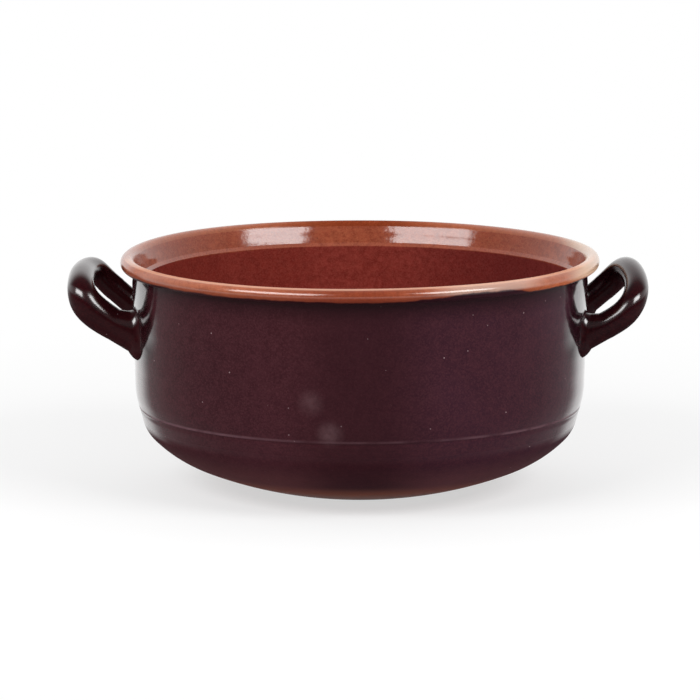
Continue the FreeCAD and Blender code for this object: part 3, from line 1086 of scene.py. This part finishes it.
# Painted highlight: a thin light line along the top of the lip's front.
crest = times(tree, faded(tree, upward, *CREST), faded(tree, spot["Y"], *CREST_IN_FRONT))
colour = painted(tree, outside_colours(tree, place), crest, 0.50, linear(226, 170, 140))
wire(tree, colour, shader.inputs["Base Color"])
frontal = times(
    tree, faded(tree, turned, *FACES_THE_EYE), faded(tree, spot["Y"], *FRONT_HALF)
)
sideways = calculated(tree, "ABSOLUTE", spot["X"])
polished = times(
    tree, faded(tree, sideways, *POLISHED_SIDES), faded(tree, spot["Y"], *POLISHED_BEHIND)
)
gloss = times(tree, larger(tree, frontal, polished), faded(tree, upward, *NOT_UNDERNEATH))
wire(tree, gloss, shader.inputs["Coat Weight"])
set_values(shader, {"Roughness": 0.40, "IOR": 1.08, "Coat Roughness": 0.17, "Coat IOR": 1.65})
rippled(tree, shader, place, 0.2, 0.35, 0.0008)
print(lip_glaze.name, "has", len(tree.nodes), "nodes")

# %% [markdown]
# The coils were brushed with the dark glaze on top of the dip, so it is thicker, darker and
# glossier there. Their tops mirror the pale air above, their undersides stay dull, and a band
# on each shoulder, where the surface looks a little upward, carries the lamps' spots.

# %% The coils
COIL_GLANCING = (0.35, 0.66)
UPPER_HALF = (-0.1, 0.5)
LOWER_HALF = (-0.05, -0.5)
SHOULDER_BAND = (0.16, 0.30, 0.42, 0.58)

coil_glaze, tree, shader, place = start_material("dark_brown_glaze_on_coils")
ground = dark_glaze(
    tree, place, linear(14, 3, 6), linear(40, 10, 14), linear(26, 6, 11), linear(56, 18, 20)
)
wire(tree, ground, shader.inputs["Base Color"])
turned, upward = turned_and_up(tree)
dull = times(tree, faded(tree, upward, *LOWER_HALF), 0.70)
wire(tree, plus(tree, dull, 0.18), shader.inputs["Roughness"])
tops = times(tree, faded(tree, turned, *COIL_GLANCING), faded(tree, upward, *UPPER_HALF))
shoulders = times(tree, band(tree, upward, *SHOULDER_BAND), 0.90)
wire(tree, larger(tree, tops, shoulders), shader.inputs["Coat Weight"])
set_values(shader, {"IOR": 1.15, "Coat Roughness": 0.19, "Coat IOR": 1.85})
rippled(tree, shader, place, 0.0, 0.25, 0.0008)

finishes = {OUTSIDE: outside_glaze, LIP: lip_glaze, INSIDE: inside_glaze, COIL: coil_glaze}
for zone in sorted(finishes):
    mesh_data.materials.append(finishes[zone])
print("materials:", [m.name for m in mesh_data.materials])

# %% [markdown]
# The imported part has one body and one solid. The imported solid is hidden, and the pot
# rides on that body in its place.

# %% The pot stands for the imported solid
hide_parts("casserole")
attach(pot, "root")
print(pot.name, "stands for the casserole")

# %% [markdown]
# ## The studio
#
# The pot was photographed on white paper. The floor here is a wide pale sheet that stays
# white far from the pot and keeps a soft shadow near it. It glows only for what the eye sees,
# directly or in a mirror, so that it doesn't light the pot from below.

# %% The floor
FLOOR_RADIUS = 40.0
FLOOR_RINGS = 12
FLOOR_SIDES = 96
FLOOR_DROP = -0.0002
PAPER_WHITE = (0.9, 0.9, 0.9, 1.0)
PURE_WHITE = (1.0, 1.0, 1.0, 1.0)
SHADOW_ENDS = (0.18, 0.60)
LEAST_GLOW = 0.6


def round_floor(radius, rings):
    """A flat round sheet just under the pot, made of rings that widen outward."""
    sheet = bmesh.new()
    middle = sheet.verts.new((0.0, 0.0, FLOOR_DROP))
    turns = [2 * math.pi * i / FLOOR_SIDES for i in range(FLOOR_SIDES)]
    before = None
    for number in range(1, rings + 1):
        reach = radius * (number / rings) ** 3
        points = [(reach * math.cos(t), reach * math.sin(t), FLOOR_DROP) for t in turns]
        ring = [sheet.verts.new(point) for point in points]
        for i in range(FLOOR_SIDES):
            j = (i + 1) % FLOOR_SIDES
            if before is None:
                sheet.faces.new((middle, ring[i], ring[j]))
            else:
                sheet.faces.new((before[i], ring[i], ring[j], before[j]))
        before = ring
    data = bpy.data.meshes.new("studio_floor")
    sheet.to_mesh(data)
    sheet.free()
    return bpy.data.objects.new("studio_floor", data)


floor = round_floor(FLOOR_RADIUS, FLOOR_RINGS)
bpy.context.scene.collection.objects.link(floor)
paper = bpy.data.materials.new("white_paper")
paper.use_nodes = True
tree = paper.node_tree
tree.nodes.clear()
matt = tree.nodes.new("ShaderNodeBsdfDiffuse")
set_values(matt, {"Color": PAPER_WHITE})
bright = tree.nodes.new("ShaderNodeEmission")
set_values(bright, {"Color": PURE_WHITE, "Strength": 1.0})
rays = tree.nodes.new("ShaderNodeLightPath").outputs
seen = larger(tree, rays["Is Camera Ray"], rays["Is Glossy Ray"])
seen = larger(tree, seen, rays["Is Transmission Ray"])
from_pot = tree.nodes.new("ShaderNodeVectorMath")
from_pot.operation = "LENGTH"
wire(tree, tree.nodes.new("ShaderNodeTexCoord").outputs["Object"], from_pot.inputs[0])
away = times(tree, faded(tree, from_pot.outputs["Value"], *SHADOW_ENDS), 1 - LEAST_GLOW)
blend = tree.nodes.new("ShaderNodeMixShader")
wire(tree, times(tree, seen, plus(tree, away, LEAST_GLOW)), blend.inputs[0])
wire(tree, matt.outputs[0], blend.inputs[1])
wire(tree, bright.outputs[0], blend.inputs[2])
wire(tree, blend.outputs[0], tree.nodes.new("ShaderNodeOutputMaterial").inputs[0])
floor.data.materials.append(paper)
print("floor faces:", len(floor.data.polygons))

# %% [markdown]
# Two long softboxes stand in front, left and right, above the camera. Each is brighter in its
# middle, as a cloth box with one lamp inside is, so each is two lamps: the box and its core.
# Their mirror images are the two bright bars on the inner wall, the streaks along the lip
# and the spots on the coils, and their places were worked out from where those lie.

# %% The lamps
LAMP_AIM = Vector((0, 0, 0.12))
LAMP_ELEVATION = 33.0
# Each lamp is (name, azimuth, distance, width, height, power).
LAMPS = (
    ("right_softbox", 50.0, 1.60, 1.04, 0.60, 3.8),
    ("left_softbox", -42.0, 1.60, 1.16, 0.60, 2.6),
    ("right_lamp_core", 50.0, 1.57, 0.88, 0.52, 11.2),
    ("left_lamp_core", -44.0, 1.57, 1.14, 0.52, 13.6),
)


def softbox(name, azimuth, distance, width, height, power):
    """A rectangular lamp aimed at the pot. Azimuth 0 is the camera's side, right is plus."""
    data = bpy.data.lights.new(name, "AREA")
    data.shape = "RECTANGLE"
    data.size = width
    data.size_y = height
    data.energy = power
    lamp = bpy.data.objects.new(name, data)
    bpy.context.scene.collection.objects.link(lamp)
    a, e = math.radians(azimuth), math.radians(LAMP_ELEVATION)
    towards = Vector((math.sin(a) * math.cos(e), -math.cos(a) * math.cos(e), math.sin(e)))
    lamp.location = LAMP_AIM + towards * distance
    lamp.rotation_mode = "QUATERNION"
    lamp.rotation_quaternion = (-towards).to_track_quat("-Z", "Y")
    return lamp


for row in LAMPS:
    lamp = softbox(*row)
    print("lamp:", lamp.name)

# %% [markdown]
# The rest of the room is pale air, dim behind the camera and bright behind the pot. The dim
# side keeps the wall dark, and the bright side gives the white background and the pale tops
# of the coils. It is a plain gradient, so everything sees the same air.

# %% The air
DIM_TO_BRIGHT = (-0.7, 0.8)
DIM = 0.12

scene = bpy.context.scene
world = bpy.data.worlds.new("studio_air")
scene.world = world
world.use_nodes = True
tree = world.node_tree
air = tree.nodes["Background"]
set_values(air, {"Color": PURE_WHITE})
way = apart(tree, tree.nodes.new("ShaderNodeTexCoord").outputs["Generated"])
behind = times(tree, faded(tree, way["Y"], *DIM_TO_BRIGHT), 1 - DIM)
wire(tree, plus(tree, behind, DIM), air.inputs["Strength"])
scene.view_settings.view_transform = "Standard"
print("air from", DIM, "to 1.0")
